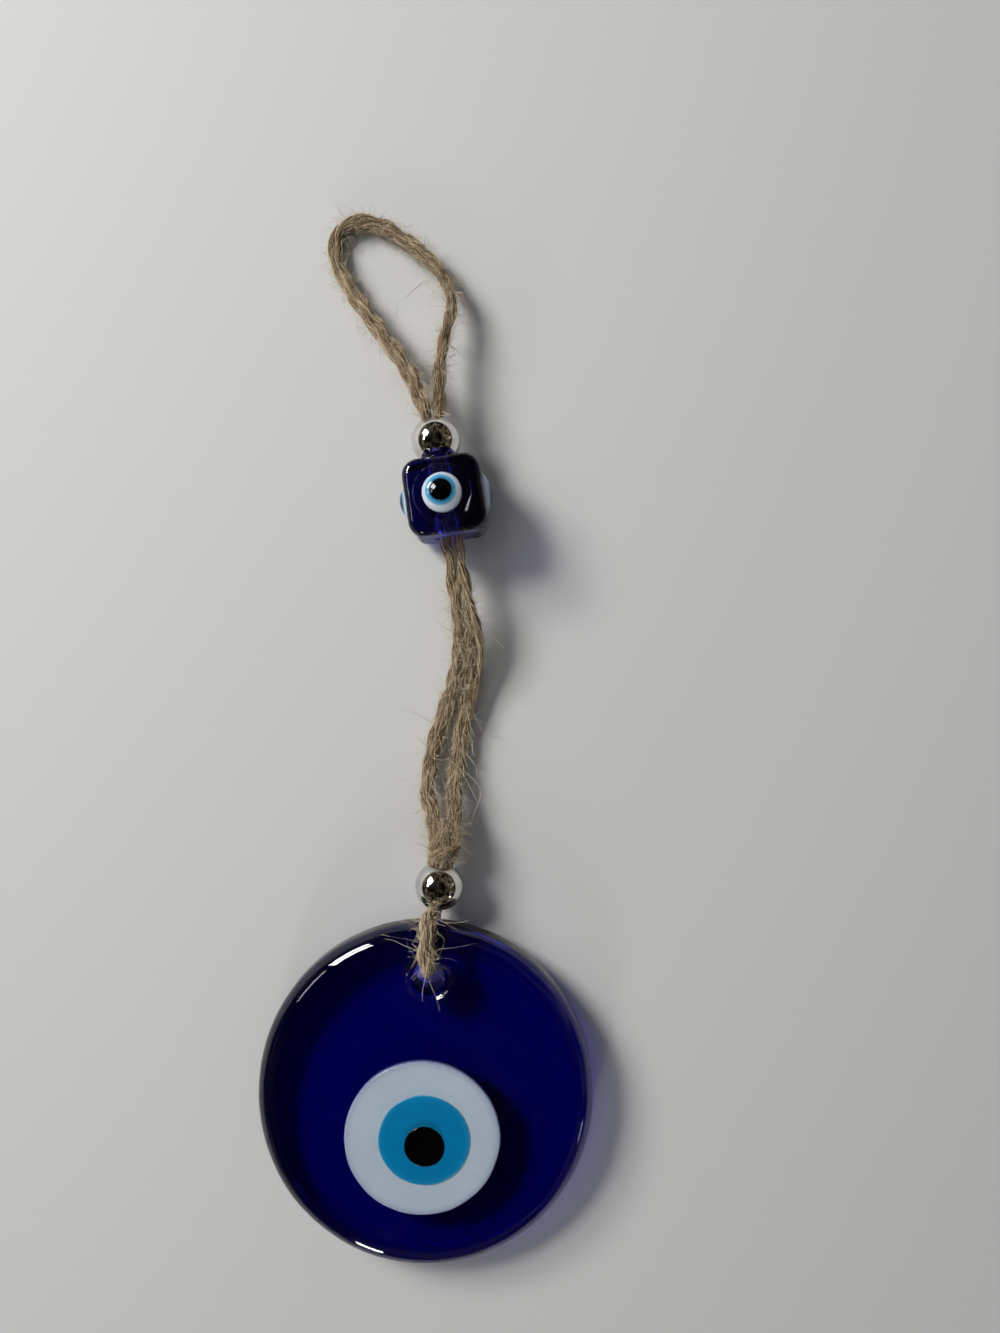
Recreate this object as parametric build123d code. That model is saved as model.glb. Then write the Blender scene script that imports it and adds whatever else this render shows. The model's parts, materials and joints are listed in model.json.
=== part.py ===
"""Evil eye ornament: a poured glass disc on jute twine, with two silvered beads and a glass cube bead.

Millimetres, +Z up. The ornament lies on a surface at Z = 0 with its hanging loop towards +Y. The origin is
on that surface, under the middle of the glass and beads taken without the twine.
"""

import os
from math import asin, cos, degrees, pi, radians, sin, sqrt, tan

from build123d import *

# ---- glass disc ----
disc_diameter = 55.0
disc_thickness = 7.0
disc_front_round = 3.2
disc_back_round = 2.0
hole_diameter = 5.3
hole_inset = 7.6  # rim to the middle of the hole
hole_aside = 0.6  # hole to the right of the disc's middle line
hole_front_round = 0.8
hole_back_round = 0.6
hole_place = (0.6, -21.8)  # where the middle of the hole lies

# ---- layers of the large eye, poured one on another ----
eye_drop = 5.8  # middle of the disc to the middle of the white
eye_aside = -0.4
white_diameter = 25.4
white_depth = 1.6
white_stand = 0.35  # how far the white stands proud of the blue
white_round = 0.3
iris_diameter = 15.0
iris_shift = (0.35, -0.2)  # from the middle of the white
iris_depth = 0.8
iris_stand = 0.15
iris_round = 0.12
pupil_diameter = 6.5
pupil_shift = (0.1, -1.1)  # from the middle of the iris
pupil_depth = 0.6
pupil_stand = 0.2
pupil_round = 0.15
pour_clearance = 0.02  # between a layer and its pocket

# ---- silvered beads ----
silver_diameter = 8.0
silver_bore = 3.6
silver_mouth_round = 0.2

# ---- cube bead ----
cube_size = 12.0
cube_round = 2.2
cube_bore = 4.6
cube_mouth_round = 0.35
cube_place = (3.1, 55.9)
cube_turn = 8.0  # degrees, its lower end swung to the right
cube_travel = 6.0  # how far the cube can be pushed down the twine

# ---- small eyes on the cube's four sides ----
small_white_diameter = 6.4
small_white_rise = 0.95
small_iris_diameter = 4.8
small_iris_stand = 0.08
small_pupil_diameter = 3.6
small_pupil_rise = 0.25  # the pupil's own dome, above the white's
small_white_seat = 0.8
small_iris_seat = 0.5
small_pupil_seat = 0.35

# ---- twine ----
twine_diameter = 2.2
tight_diameter = 1.7  # where it is squeezed in the silver beads and pulled tight round the disc
strand_gap = 0.04  # between two strands side by side
end_gap = 0.1  # between a strand's end and what turns past it
knot_diameter = 6.0
knot_gap = 0.15
nest_gap = 0.12  # silver bead over the mouth of the cube's bore
run_short = 0.7  # the straight runs below the cube are this much shorter than its travel
strand_lead = 3.2  # straight stretch below the runs, in line with them
arc_share = 0.45  # of the shorter run that an arc takes up
edge_match = 0.01  # an edge counts as a bore's mouth within this much of its radius

# ---- bail: the closed turn of twine that carries the disc ----
bail_turn = 6.54  # degrees, its upper end swung to the right
bail_height = 5.2  # height of the lower silver bead's bore
rim_gap = 2.79  # disc's rim to the lower silver bead
back_leg_space = 2.2  # room that the twine behind the disc needs
leg_clearance = 0.12
hole_wall_gap = 0.3  # twine to the wall of the hole
back_leg_height = 1.1
hole_bend = 2.0  # the twine's bend over the edges of the hole
exit_bend = 1.9
exit_lead = 1.02  # straight stretch of twine below the lower silver bead
loop_leg_offset = 1.2
loop_pivot_gap = 0.1


def corner_radii(points, largest=None):
    """The largest arc that each corner's two runs allow, or the stated one where it is smaller."""
    radii = []
    for index in range(1, len(points) - 1):
        here = Vector(*points[index])
        back = Vector(*points[index - 1]) - here
        ahead = Vector(*points[index + 1]) - here
        half_turn = radians(180 - back.get_angle(ahead)) / 2
        radius = arc_share * min(back.length, ahead.length) / tan(half_turn)
        if largest and largest.get(index):
            radius = min(radius, largest[index])
        radii.append(radius)
    return radii


def tube(name, points, diameter, largest=None):
    """A round tube along straight runs joined by tangent arcs."""
    radii = corner_radii(points, largest)
    path = FilletPolyline(*points, radius=radii)
    section = Plane(origin=path @ 0, z_dir=path % 0) * Circle(diameter / 2)
    solid = sweep(section, path=path)
    expected = path.length * pi * diameter**2 / 4
    print(f"{name}: {path.length:.1f} mm long, volume {solid.volume / expected:.4f} of section x length")
    print("  radii", " ".join(f"{radius:.1f}" for radius in radii))
    return solid


def straight(start, end, diameter):
    """A straight round run from start to end."""
    start, end = Vector(*start), Vector(*end)
    length = (end - start).length
    along = Plane(origin=start, z_dir=(end - start).normalized())
    return along * Cylinder(diameter / 2, length, align=(Align.CENTER, Align.CENTER, Align.MIN))


def write(name, solid):
    solid.label = name
    export_step(solid, f"parts/{name}.step")


# ---- where things lie ----
disc_radius = disc_diameter / 2
disc_thick_reach = disc_radius - disc_back_round
hole_reach = disc_radius - hole_inset  # middle of the disc to the middle of the hole
twine_under = hole_reach + hole_diameter / 4
disc_tilt = degrees(asin(back_leg_space / (disc_thick_reach + twine_under)))
tilt_sin, tilt_cos = sin(radians(disc_tilt)), cos(radians(disc_tilt))
disc_lift = disc_thick_reach * tilt_sin + disc_back_round * (1 - tilt_cos)
disc_middle_y = hole_place[1] - hole_reach * tilt_cos + disc_thickness / 2 * tilt_sin
disc_middle_x = hole_place[0] - hole_aside
on_disc = Location((disc_middle_x, disc_middle_y, disc_lift)) * Rot(disc_tilt, 0, 0)

bail_along = (sin(radians(bail_turn)), cos(radians(bail_turn)), 0)
silver_radius = silver_diameter / 2
lower_bead_reach = hole_inset + rim_gap + silver_radius
knot_radius = knot_diameter / 2
knot_reach = lower_bead_reach + silver_radius + knot_gap + knot_radius
silver_mouth = sqrt(silver_radius**2 - (silver_bore / 2) ** 2)  # bead's middle to the mouth of its bore
tight_offset = (tight_diameter + strand_gap) / 2
strand_offset = (twine_diameter + strand_gap) / 2


def on_bail(reach, height):
    """A point in the upright plane through the hole and the lower bead."""
    return (hole_place[0] + reach * bail_along[0], hole_place[1] + reach * bail_along[1], height)


lower_bead_middle = on_bail(lower_bead_reach, bail_height)
knot_middle = Vector(*on_bail(knot_reach, bail_height))

small_eye_rise = small_white_rise + small_pupil_rise
cube_half = cube_size / 2
cube_height = cube_half + small_eye_rise
cube_middle = Vector(*cube_place, cube_height)
cube_up = Vector(-sin(radians(cube_turn)), cos(radians(cube_turn)), 0)
cube_across = Vector(cos(radians(cube_turn)), sin(radians(cube_turn)), 0)
on_cube = Location(tuple(cube_middle)) * Rot(0, 0, cube_turn)
nest_reach = sqrt((silver_radius + nest_gap) ** 2 - (cube_bore / 2) ** 2)
upper_bead_middle = cube_middle + cube_up * (cube_half + nest_reach)
loop_leg_reach = sqrt((silver_radius + twine_diameter / 2 + loop_pivot_gap) ** 2 - loop_leg_offset**2)
loop_pivot = upper_bead_middle + cube_up * loop_leg_reach


# ---- glass disc and its eye ----
def rounded_drum(diameter, height, low_round, high_round):
    drum = Cylinder(diameter / 2, height, align=(Align.CENTER, Align.CENTER, Align.MIN))
    rims = drum.edges().filter_by(GeomType.CIRCLE).sort_by(Axis.Z)
    if low_round:
        drum = fillet(rims[0], low_round)
        rims = drum.edges().filter_by(GeomType.CIRCLE).sort_by(Axis.Z)
    return fillet(rims[-1], high_round)


def layer(diameter, low, high, edge_round):
    """One poured layer, from its bed to its slightly proud top."""
    return Pos(0, 0, low) * rounded_drum(diameter, high - low, 0, edge_round)


def pocket(diameter, low, high):
    return Pos(0, 0, low) * Cylinder(
        diameter / 2 + pour_clearance, high - low, align=(Align.CENTER, Align.CENTER, Align.MIN)
    )


white_bed = disc_thickness - white_depth
white_top = disc_thickness + white_stand
iris_bed = white_top - iris_depth
iris_top = white_top + iris_stand
pupil_bed = iris_top - pupil_depth
pupil_top = iris_top + pupil_stand
white_at = Pos(eye_aside, -eye_drop, 0)
iris_at = white_at * Pos(*iris_shift, 0)
pupil_at = iris_at * Pos(*pupil_shift, 0)
over_all = disc_thickness * 2


def make_glass_disc():
    disc = rounded_drum(disc_diameter, disc_thickness, disc_back_round, disc_front_round)
    hole = Pos(hole_aside, hole_reach, disc_thickness / 2) * Cylinder(hole_diameter / 2, over_all)
    disc -= hole
    rims = disc.edges().filter_by(GeomType.CIRCLE)
    rims = rims.filter_by(lambda edge: abs(edge.radius - hole_diameter / 2) < edge_match).sort_by(Axis.Z)
    disc = fillet(rims[-1], hole_front_round)
    rims = disc.edges().filter_by(GeomType.CIRCLE)
    rims = rims.filter_by(lambda edge: abs(edge.radius - hole_diameter / 2) < edge_match).sort_by(Axis.Z)
    disc = fillet(rims[0], hole_back_round)
    return disc - white_at * pocket(white_diameter, white_bed, over_all)


def make_disc_eye():
    white = white_at * layer(white_diameter, white_bed, white_top, white_round)
    white -= iris_at * pocket(iris_diameter, iris_bed, over_all)
    iris = iris_at * layer(iris_diameter, iris_bed, iris_top, iris_round)
    iris -= pupil_at * pocket(pupil_diameter, pupil_bed, over_all)
    pupil = pupil_at * layer(pupil_diameter, pupil_bed, pupil_top, pupil_round)
    return {"disc_eye_white": white, "disc_eye_iris": iris, "disc_eye_pupil": pupil}


# ---- silvered bead ----
def make_silver_bead():
    """A bored ball, its bore along +Y."""
    ball = Sphere(silver_radius) - Cylinder(silver_bore / 2, silver_diameter * 2)
    mouths = ball.edges().filter_by(GeomType.CIRCLE)
    mouths = mouths.filter_by(lambda edge: abs(edge.radius - silver_bore / 2) < edge_match)
    return Rot(90, 0, 0) * fillet(mouths, silver_mouth_round)


# ---- cube bead ----
def dome(diameter, rise, foot):
    """A shallow cap standing on the face at height 0, with a straight foot let into the glass."""
    base_radius = diameter / 2
    ball_radius = (base_radius**2 + rise**2) / (2 * rise)
    ball = Pos(0, 0, rise - ball_radius) * Sphere(ball_radius)
    drum = Pos(0, 0, -foot) * Cylinder(
        base_radius, foot + rise, align=(Align.CENTER, Align.CENTER, Align.MIN)
    )
    return ball & drum, ball_radius


def dome_height(radius, rise, ball_radius):
    """Height of a cap's surface at a distance from its middle."""
    return rise - ball_radius + sqrt(ball_radius**2 - radius**2)


def small_eye():
    """The three layers of a small eye, its face at height 0."""
    white, white_ball = dome(small_white_diameter, small_white_rise, 0)
    white += Pos(0, 0, -small_white_seat) * Cylinder(
        small_white_diameter / 2, small_white_seat, align=(Align.CENTER, Align.CENTER, Align.MIN)
    )
    iris_edge = dome_height(small_iris_diameter / 2, small_white_rise, white_ball)
    pupil_edge = dome_height(small_pupil_diameter / 2, small_white_rise, white_ball)
    iris_floor = iris_edge - small_iris_seat
    iris_ball = Pos(0, 0, small_white_rise - white_ball) * Sphere(white_ball + small_iris_stand)
    iris = iris_ball & Pos(0, 0, iris_floor) * Cylinder(
        small_iris_diameter / 2, cube_half, align=(Align.CENTER, Align.CENTER, Align.MIN)
    )
    pupil_floor = pupil_edge - small_pupil_seat
    pupil_rise = small_white_rise + small_pupil_rise - pupil_edge
    pupil, _ = dome(small_pupil_diameter, pupil_rise, small_pupil_seat)
    pupil = Pos(0, 0, pupil_edge) * pupil
    pupil += Pos(0, 0, pupil_floor) * Cylinder(
        small_pupil_diameter / 2, small_pupil_seat, align=(Align.CENTER, Align.CENTER, Align.MIN)
    )
    white -= pocket(small_iris_diameter, iris_floor, cube_half)
    iris -= pocket(small_pupil_diameter, pupil_floor, cube_half)
    return {"white": white, "iris": iris, "pupil": pupil}


def cube_sides():
    """Where each small eye's face lies on the cube."""
    return {
        "front": Pos(0, 0, cube_half),
        "right": Pos(cube_half, 0, 0) * Rot(0, 90, 0),
        "back": Pos(0, 0, -cube_half) * Rot(0, 180, 0),
        "left": Pos(-cube_half, 0, 0) * Rot(0, -90, 0),
    }


def make_cube_bead():
    cube = Box(cube_size, cube_size, cube_size)
    cube = fillet(cube.edges(), cube_round)
    cube -= Rot(90, 0, 0) * Cylinder(cube_bore / 2, cube_size * 2)
    mouths = cube.edges().filter_by(GeomType.CIRCLE)
    mouths = mouths.filter_by(lambda edge: abs(edge.radius - cube_bore / 2) < edge_match)
    cube = fillet(mouths, cube_mouth_round)
    for side in cube_sides().values():
        cube -= side * pocket(small_white_diameter, -small_white_seat, cube_half)
    return cube


# ---- twine ----
def bail_route():
    """Through the lower bead, over the rim, down the hole, back under the disc and through the bead."""
    high_run = bail_height + tight_offset
    low_run = bail_height - tight_offset
    run_end = knot_reach - sqrt(knot_radius**2 - tight_offset**2) - end_gap
    exit_reach = lower_bead_reach - silver_mouth - exit_lead
    front_height = disc_lift + hole_reach * tilt_sin + disc_thickness * tilt_cos
    over_front = front_height + tight_diameter / 2 + leg_clearance
    down_hole = hole_diameter / 2 - tight_diameter / 2 - hole_wall_gap
    rim_rise = hole_inset * tilt_sin
    return [
        on_bail(run_end, high_run),
        on_bail(exit_reach, high_run),
        on_bail(hole_inset + 1.1, front_height - 0.75),
        on_bail(hole_inset - 1.0, over_front + rim_rise * 0.6),
        on_bail(down_hole, over_front),
        on_bail(down_hole, back_leg_height),
        on_bail(hole_inset - 0.2, back_leg_height),
        on_bail(exit_reach - 0.2, low_run),
        on_bail(run_end, low_run),
    ]


bail_bends = {1: exit_bend, 4: hole_bend, 5: hole_bend, 7: exit_bend + 0.3}


def run_point(reach, offset):
    """A point beside the cube's axis, at a distance up the twine from the cube's middle."""
    return tuple(cube_middle + cube_up * reach + cube_across * offset)


run_low = -(cube_half + cube_travel - run_short)
run_high = cube_half + nest_reach - silver_mouth - end_gap


def left_route():
    return [
        tuple(knot_middle + Vector(-1.36, 1.9, -0.3)),
        (0.1, 5.8, 3.6),
        (0.3, 11.4, 1.9),
        (1.9, 17.6, 1.4),
        (4.9, 24.6, 1.9),
        (5.9, 30.4, 3.5),
        (5.6, 36.4, 5.6),
        run_point(run_low - strand_lead, -strand_offset),
        run_point(run_low, -strand_offset),
    ]


def right_route():
    return [
        tuple(knot_middle + Vector(1.34, 1.9, -0.3)),
        (4.3, 5.9, 3.7),
        (4.8, 11.6, 1.9),
        (6.3, 18.0, 1.4),
        (7.6, 24.8, 1.9),
        (8.4, 30.6, 3.5),
        (8.1, 36.6, 5.6),
        run_point(run_low - strand_lead, strand_offset),
        run_point(run_low, strand_offset),
    ]


def loop_route():
    return [
        tuple(loop_pivot + cube_across * loop_leg_offset),
        (2.1, 76.2, 6.2),
        (3.0, 82.7, 5.2),
        (4.7, 88.8, 4.2),
        (2.6, 94.5, 3.3),
        (-2.6, 99.8, 2.4),
        (-9.0, 104.1, 1.5),
        (-14.9, 103.8, 1.25),
        (-16.6, 98.4, 1.3),
        (-13.6, 92.2, 2.2),
        (-9.2, 86.2, 3.4),
        (-4.6, 79.8, 4.8),
        (-1.2, 73.8, 6.3),
        tuple(loop_pivot - cube_across * loop_leg_offset),
    ]


def make_loop():
    """The loop, each leg starting in a round end that turns on the loop's hinge line."""
    points = loop_route()
    loop = tube("hanging_loop", points, twine_diameter)
    for point in (points[0], points[-1]):
        loop += Pos(*point) * Sphere(twine_diameter / 2)
    return loop


def make_runs(low, high, offset, diameter):
    """Two straight strands side by side on the cube's axis."""
    return {
        side: straight(run_point(low, sign * offset), run_point(high, sign * offset), diameter)
        for side, sign in (("left", -1), ("right", 1))
    }


def main():
    os.makedirs("parts", exist_ok=True)
    write("glass_disc", on_disc * make_glass_disc())
    for name, solid in make_disc_eye().items():
        write(name, on_disc * solid)

    along_bail = Rot(0, 0, -bail_turn)
    write("lower_silver_bead", Location(lower_bead_middle) * along_bail * make_silver_bead())
    write("upper_silver_bead", Location(tuple(upper_bead_middle)) * Rot(0, 0, cube_turn) * make_silver_bead())

    write("cube_bead", on_cube * make_cube_bead())
    eye_layers = small_eye()
    for side, place in cube_sides().items():
        for part, solid in eye_layers.items():
            write(f"cube_eye_{side}_{part}", on_cube * place * solid)

    write("twine_bail", tube("twine_bail", bail_route(), tight_diameter, bail_bends))
    write("twine_knot", Pos(*knot_middle) * Sphere(knot_radius))
    write("left_strand", tube("left_strand", left_route(), twine_diameter))
    write("right_strand", tube("right_strand", right_route(), twine_diameter))
    for side, run in make_runs(run_low, run_high, strand_offset, twine_diameter).items():
        write(f"{side}_cube_run", run)
    bead_run_end = cube_half + nest_reach + loop_leg_reach - twine_diameter / 2 - end_gap
    for side, run in make_runs(run_high, bead_run_end, tight_offset, tight_diameter).items():
        write(f"{side}_bead_run", run)
    write("hanging_loop", make_loop())

    print(f"disc tilt {disc_tilt:.3f} degrees, lift {disc_lift:.3f}, middle y {disc_middle_y:.3f}")
    print("lower bead", [round(v, 3) for v in lower_bead_middle], "knot", [round(v, 3) for v in knot_middle])
    print("cube", [round(v, 3) for v in cube_middle], "upper bead", [round(v, 3) for v in upper_bead_middle])
    print("loop pivot", [round(v, 3) for v in loop_pivot])


main()
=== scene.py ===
import bpy
import json
import math
import numpy as np
from mathutils import Matrix, Vector


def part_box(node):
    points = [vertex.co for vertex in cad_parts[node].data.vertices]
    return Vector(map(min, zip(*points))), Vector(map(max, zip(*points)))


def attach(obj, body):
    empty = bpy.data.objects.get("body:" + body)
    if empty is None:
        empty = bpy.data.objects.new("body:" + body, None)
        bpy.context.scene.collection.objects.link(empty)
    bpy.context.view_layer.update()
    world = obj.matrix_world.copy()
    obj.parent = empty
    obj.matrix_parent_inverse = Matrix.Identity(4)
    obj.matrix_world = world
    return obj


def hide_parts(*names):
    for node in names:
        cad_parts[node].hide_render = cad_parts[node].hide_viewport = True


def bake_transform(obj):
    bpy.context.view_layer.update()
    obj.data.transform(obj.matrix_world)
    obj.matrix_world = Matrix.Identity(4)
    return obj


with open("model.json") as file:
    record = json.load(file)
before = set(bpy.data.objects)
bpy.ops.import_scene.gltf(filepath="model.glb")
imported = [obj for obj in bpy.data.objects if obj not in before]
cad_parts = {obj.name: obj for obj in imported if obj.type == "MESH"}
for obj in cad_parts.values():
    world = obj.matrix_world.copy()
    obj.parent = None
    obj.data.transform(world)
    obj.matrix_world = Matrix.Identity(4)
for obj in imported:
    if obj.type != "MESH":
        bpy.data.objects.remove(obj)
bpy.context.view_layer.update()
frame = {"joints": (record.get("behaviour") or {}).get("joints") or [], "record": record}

mm = 0.001
print("frame loaded")


def middleOf(node):
    low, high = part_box(node)
    return (Vector(low) + Vector(high)) / 2


def jointNamed(name):
    return next(joint for joint in frame["joints"] if joint["name"] == name)


lowerBeadMiddle = middleOf("lower_silver_bead")
upperBeadMiddle = middleOf("upper_silver_bead")
cubeMiddle = middleOf("cube_bead")
knotMiddle = middleOf("twine_knot")
holeMiddle = Vector(jointNamed("bail_swing")["pos_m"])
cubeUp = (upperBeadMiddle - cubeMiddle).normalized()  # up the twine through the cube
cubeAcross = Vector((cubeUp.y, -cubeUp.x, 0))
bailAlong = Vector((lowerBeadMiddle.x - holeMiddle.x, lowerBeadMiddle.y - holeMiddle.y, 0)).normalized()
bailAcross = Vector((bailAlong.y, -bailAlong.x, 0))

discMount = next(mount for mount in frame["record"]["mounts"] if mount["name"] == "disc_back")
discTilt = math.asin(discMount["axis"][1])
discMiddle = Vector(discMount["pos_m"])
onDisc = Matrix.Translation(discMiddle) @ Matrix.Rotation(discTilt, 4, "X")
disc = {
    "radius": 27.5, "tall": 1.034, "rise": 0.17,  # a little taller than wide, as poured
    "thickness": 7.0, "frontRound": 3.2, "backRound": 2.0, "around": 144,
    "holeAt": (0.6, 19.9), "holeRadius": 2.65, "holeBackRound": 0.6,
    "holeLip": (
        (2.65, 5.2), (2.72, 5.6), (2.9, 5.98), (3.2, 6.30),
        (3.6, 6.56), (4.0, 6.77), (4.35, 6.93), (4.7, 7.0),
    ),
    "cuts": 24, "rippleSize": 9.0, "ripple": 0.22,
}


def newFinish(name):
    material = bpy.data.materials.new(name)
    material.use_nodes = True
    return material, material.node_tree, material.node_tree.nodes["Principled BSDF"]


def setInputs(tree, node, inputs):
    # each named input gets a number, a colour or a link from another node's output
    for label, value in inputs.items():
        if isinstance(value, bpy.types.NodeSocket):
            tree.links.new(value, node.inputs[label])
        else:
            node.inputs[label].default_value = (*value, 1) if isinstance(value, tuple) else value


def addNode(tree, kind, inputs={}, **settings):
    node = tree.nodes.new("ShaderNode" + kind)
    for label, value in settings.items():
        setattr(node, label, value)
    setInputs(tree, node, inputs)
    return node.outputs


def addMath(tree, operation, *values):
    return addNode(tree, "Math", dict(enumerate(values)), operation=operation)[0]


def addRange(tree, value, start, end, low=0.0, high=1.0, **settings):
    # takes a value from one range into another
    inputs = {"Value": value, "From Min": start, "From Max": end, "To Min": low, "To Max": high}
    return addNode(tree, "MapRange", inputs, **settings)["Result"]


def addRamp(tree, value, stops):
    # a row of shades; each stop is (place, colour)
    shade = addNode(tree, "ValToRGB", {"Fac": value})["Color"]
    marks = shade.node.color_ramp.elements
    marks[0].position, marks[0].color = stops[0][0], (*stops[0][1], 1)
    marks[1].position, marks[1].color = stops[-1][0], (*stops[-1][1], 1)
    for position, colour in stops[1:-1]:
        marks.new(position).color = (*colour, 1)
    return shade


def addNoise(tree, scale, detail, space="Object"):
    place = addNode(tree, "TexCoord")[space]
    return addNode(tree, "TexNoise", {"Vector": place, "Scale": scale, "Detail": detail})["Fac"]


def mixColours(tree, share, first, second):
    return addNode(tree, "Mix", {"Factor": share, "A": first, "B": second}, data_type="RGBA")["Result"]


def mixShaders(tree, share, first, second):
    # the surface: the first shader where the share is 0, the second where it is 1
    blend = addNode(tree, "MixShader", {0: share, 1: first, 2: second})["Shader"]
    setInputs(tree, tree.nodes["Material Output"], {"Surface": blend})


view = {"place": (0.0122, 0.0286, 0.170), "sensor": 36.0, "lens": 27.06, "nearest": 0.005}
floor = {"size": 3.0, "colour": (0.56, 0.555, 0.54), "roughness": 0.9, "gloss": 0.2, "fade": (0.175, 0.45)}
lamps = {
    "windowHigh": {"azimuth": 142, "height": 41.5, "distance": 0.75, "size": (0.22, 0.125), "watts": 3.1},
    "windowLow": {"azimuth": 140, "height": 29.5, "distance": 0.75, "size": (0.25, 0.125), "watts": 3.1},
    "wallGlow": {"azimuth": 166, "height": 36, "distance": 0.75, "size": (0.20, 0.09), "watts": 0.4},
    "sideWindow": {"azimuth": 255, "height": 19, "distance": 0.80, "size": (0.09, 0.14), "watts": 1.1},
    "warmLamp": {"azimuth": 319, "height": 22, "distance": 0.90, "size": (0.10, 0.10), "watts": 0.10},
    "ceiling": {"azimuth": 90, "height": 90, "distance": 1.40, "size": (1.6, 1.6), "watts": 2.2},
}
lightUnderDisc = {  # the windows' light where it comes down through the disc, which bends it steeper
    "lamp": {"azimuth": 141, "height": 52, "distance": 0.75, "size": (0.12, 0.10), "watts": 5.1},
    "radius": 26.6, "lift": 0.02, "around": 96,
    "shutOut": ("windowHigh", "windowLow", "wallGlow", "sideWindow"),
}
room = {
    "background": (0.80, 0.80, 0.79),
    "soft": (0.085, 0.088, 0.094),
    "clutter": 3.6, "clutterDetail": 4, "contrast": 1.6,
    "clutterShades": (
        (0.0, (0.006, 0.005, 0.004)), (0.22, (0.010, 0.008, 0.006)), (0.34, (0.05, 0.040, 0.028)),
        (0.62, (0.085, 0.068, 0.045)), (0.80, (0.14, 0.12, 0.09)), (1.0, (0.42, 0.40, 0.36)),
    ),
    "horizon": (0.03, 0.14),
    "overhead": (0.70, 0.90, 0.18),  # where the room starts to darken, where it stays dark, and how dark
    "ground": (0.44, 0.44, 0.41),
}


def setMode(mode):
    bpy.ops.object.mode_set(mode=mode)


def clearSelection():
    if bpy.context.object and bpy.context.object.mode != "OBJECT":
        setMode("OBJECT")
    bpy.ops.object.select_all(action="DESELECT")


def addCamera():
    bpy.ops.object.camera_add(location=view["place"], rotation=(0, 0, 0))
    eye = bpy.context.object
    eye.data.sensor_width = view["sensor"]
    eye.data.lens = view["lens"]
    eye.data.clip_start = view["nearest"]
    bpy.context.scene.camera = eye


def seenDirectly(tree):
    # 1 for what the camera sees, straight or in glass or metal
    path = addNode(tree, "LightPath")
    mirrored = addMath(tree, "MAXIMUM", path["Is Camera Ray"], path["Is Glossy Ray"])
    return addMath(tree, "MAXIMUM", mirrored, path["Is Transmission Ray"])


def makeCover():
    # the floor's plain surface, which fades into the background further out
    cover, tree, shader = newFinish("floor")
    setInputs(tree, shader, {
        "Base Color": floor["colour"], "Roughness": floor["roughness"], "Specular IOR Level": floor["gloss"],
    })
    place = addNode(tree, "TexCoord")["Object"]
    away = addNode(tree, "VectorMath", {0: place}, operation="LENGTH")["Value"]
    fade = addRange(tree, away, *floor["fade"], interpolation_type="SMOOTHSTEP")
    share = addMath(tree, "MULTIPLY", fade, seenDirectly(tree))
    distance = addNode(tree, "Emission", {"Color": room["background"]})["Emission"]
    mixShaders(tree, share, shader.outputs["BSDF"], distance)
    return cover


def addFloor():
    # the floor, and a round of it under the disc that has a lamp of its own
    cover = makeCover()
    bpy.ops.mesh.primitive_plane_add(size=floor["size"], location=(0, 0, 0))
    ground = bpy.context.object
    ground.name = "floor"
    bpy.ops.mesh.primitive_circle_add(
        vertices=lightUnderDisc["around"], radius=lightUnderDisc["radius"] * mm, fill_type="NGON",
        location=(discMiddle.x, discMiddle.y, lightUnderDisc["lift"] * mm),
    )
    underDisc = bpy.context.object
    underDisc.name = "floorUnderDisc"
    bpy.ops.object.transform_apply(location=True)
    for part in (ground, underDisc):
        part.data.materials.append(cover)
    return underDisc


def addLamp(name, azimuth, height, distance, size, watts):
    across, up = math.radians(azimuth), math.radians(height)
    toward = Vector((math.cos(up) * math.cos(across), math.cos(up) * math.sin(across), math.sin(up)))
    bpy.ops.object.light_add(type="AREA", location=toward * distance)
    lamp = bpy.context.object
    lamp.name = name
    lamp.rotation_euler = (-toward).to_track_quat("-Z", "Y").to_euler()
    lamp.data.shape = "RECTANGLE"
    lamp.data.size, lamp.data.size_y = size
    lamp.data.energy = watts
    lamp.visible_glossy = name not in ("ceiling", "underDisc")
    return lamp


def linkLamp(lamp, piece, state):
    # INCLUDE: the lamp lights this piece only; EXCLUDE: it lights all but this piece
    kept = bpy.data.collections.new(lamp.name + "Reach")
    lamp.light_linking.receiver_collection = kept
    kept.objects.link(piece)
    kept.collection_objects[0].light_linking.link_state = state


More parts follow.
